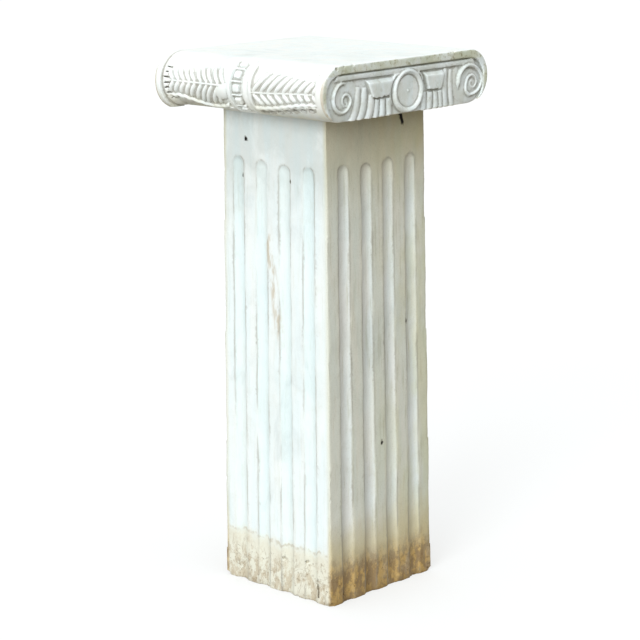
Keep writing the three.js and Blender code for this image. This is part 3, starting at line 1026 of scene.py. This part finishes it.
# Only the far left rim hangs a little below the bed.
for vertex in capital.data.vertices:
    lowest = BED - 2.4 * MM if vertex.co.x < -152 * MM and vertex.co.y > 0.16 else BED
    vertex.co.z = min(max(vertex.co.z, lowest), TOP + 0.4 * MM)
thin_out(capital, CAPITAL_FACES)

capital_paint = Paint("capital_marble")
# The pale crest colour is a painted highlight on the raised carving.
colour, rough, bump = marble(capital_paint, 0.02, 0.55, (0.88, 0.90, 0.90), 0.7)
east, depth_in, height = capital_paint.along_axes()
# The ends are dirtier than the rolls: grey in the ground, yellow-green along the top border.
reach = (((east.size() - 0.155).larger(0) ** 2) + ((height - 0.87) ** 2)) ** 0.5
outside = reach.between(0.0425, 0.0445)
at_end = depth_in.size().between(0.1805, 0.1835) * (1 - outside)
patches = capital_paint.noise(capital_paint.place(), 30.0, 5.0, 0.65)
specks = capital_paint.noise(capital_paint.place(), 110.0, 4.0, 0.7)
colour = capital_paint.blend(at_end, colour, (0.97, 1.0, 1.02), "MULTIPLY")
colour = capital_paint.blend(at_end * patches.between(0.42, 0.62) * 0.7, colour,
                             (0.84, 0.83, 0.77), "MULTIPLY")
colour = capital_paint.blend(at_end * specks.between(0.54, 0.72) * 0.6, colour,
                             (0.66, 0.63, 0.55), "MULTIPLY")
border = height.between(0.8975, 0.9005).larger(east.size().between(0.187, 0.193)) * at_end
colour = capital_paint.blend(border * (0.35 + patches.between(0.35, 0.6) * 0.65), colour,
                             (0.83, 0.82, 0.68), "MULTIPLY")
colour = capital_paint.blend(border * specks.between(0.5, 0.66) * 0.8, colour,
                             (0.62, 0.56, 0.44), "MULTIPLY")
# Cream and brown weathering under the rolls and along the edge of each end.
under = (1 - height.between(0.834, 0.858)) * (1 - at_end)
colour = capital_paint.blend(under * (0.1 + patches.between(0.4, 0.6) * 0.7), colour,
                             (0.97, 0.94, 0.83), "MULTIPLY")
line = depth_in.size().between(0.184, 0.187) * outside * (1 - height.between(0.885, 0.905))
colour = capital_paint.blend(line * patches.between(0.36, 0.56) * 0.75, colour,
                             (0.62, 0.51, 0.37), "MULTIPLY")
capital.data.materials.clear()
capital.data.materials.append(finish_stone(capital_paint, colour, rough, bump))
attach(capital, "root")
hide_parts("capital")

# ---------------------------------------------------------------- studio
# A plain pale floor under a pale sky, with one low soft sun from the left.

let_go()
bpy.ops.mesh.primitive_plane_add(size=80, location=(0, 0, 0))
floor = bpy.context.object
floor.name = "studio_floor"
floor_paint = Paint("studio_floor")
shade = floor_paint.node("ShaderNodeBsdfDiffuse", {}, {"Color": (0.9, 0.9, 0.9)})
glow = floor_paint.node("ShaderNodeEmission", {}, {"Color": (1.0, 1.0, 1.0), "Strength": 1.0})
floor_paint.node("ShaderNodeOutputMaterial", {}, {"Surface": floor_paint.node(
    "ShaderNodeMixShader", {}, {0: 0.55, 1: shade, 2: glow})})
floor.data.materials.append(floor_paint.material)
floor.visible_diffuse = False
floor.visible_glossy = False

let_go()
bpy.ops.object.light_add(type="SUN")
key = bpy.context.object
key.name = "key"
key.rotation_euler = Vector((1, 0.35, -0.35)).to_track_quat("-Z", "Y").to_euler()
key.data.energy = 2.2
key.data.angle = math.radians(32)
key.data.color = (0.93, 0.99, 1.01)

# The sky is brighter overhead; below the horizon it is brown, and paler towards the left.
world = bpy.data.worlds.new("studio")
bpy.context.scene.world = world
sky = Paint("studio", world)
toward = sky.node("ShaderNodeTexCoord", output="Generated")
upward = sky.node("ShaderNodeSeparateXYZ", {}, {0: toward}, output="Z")
eastward = sky.node("ShaderNodeSeparateXYZ", {}, {0: toward}, output="X")
dome = sky.blend(upward.clamp(), (0.60, 0.61, 0.60), (1.2, 1.25, 1.25))
ground = sky.blend(eastward.between(0.1, -0.8), (0.16, 0.125, 0.075), (0.46, 0.45, 0.40))
dome = sky.blend(upward.between(-0.06, 0.06), ground, dome)
sky.node("ShaderNodeOutputWorld", {}, {"Surface": sky.node(
    "ShaderNodeBackground", {}, {"Color": dome, "Strength": 1.0})})
bpy.context.scene.view_settings.view_transform = "Standard"

AZIMUTH, ELEVATION, ROLL = (math.radians(a) for a in (-45.96, 13.10, -0.69))
back = Vector((math.sin(AZIMUTH) * math.cos(ELEVATION),
               -math.cos(AZIMUTH) * math.cos(ELEVATION), math.sin(ELEVATION)))
level = Vector((math.cos(AZIMUTH), math.sin(AZIMUTH), 0))
upright = back.cross(level)
right = math.cos(ROLL) * level + math.sin(ROLL) * upright
up = -math.sin(ROLL) * level + math.cos(ROLL) * upright
let_go()
bpy.ops.object.camera_add(location=3.755 * back - 0.0154 * right + 0.4419 * up)
camera = bpy.context.object
camera.rotation_euler = Matrix((right, up, back)).transposed().to_euler()
camera.data.sensor_width = 36
camera.data.lens = 120.15
camera.data.clip_end = 200
bpy.context.scene.camera = camera
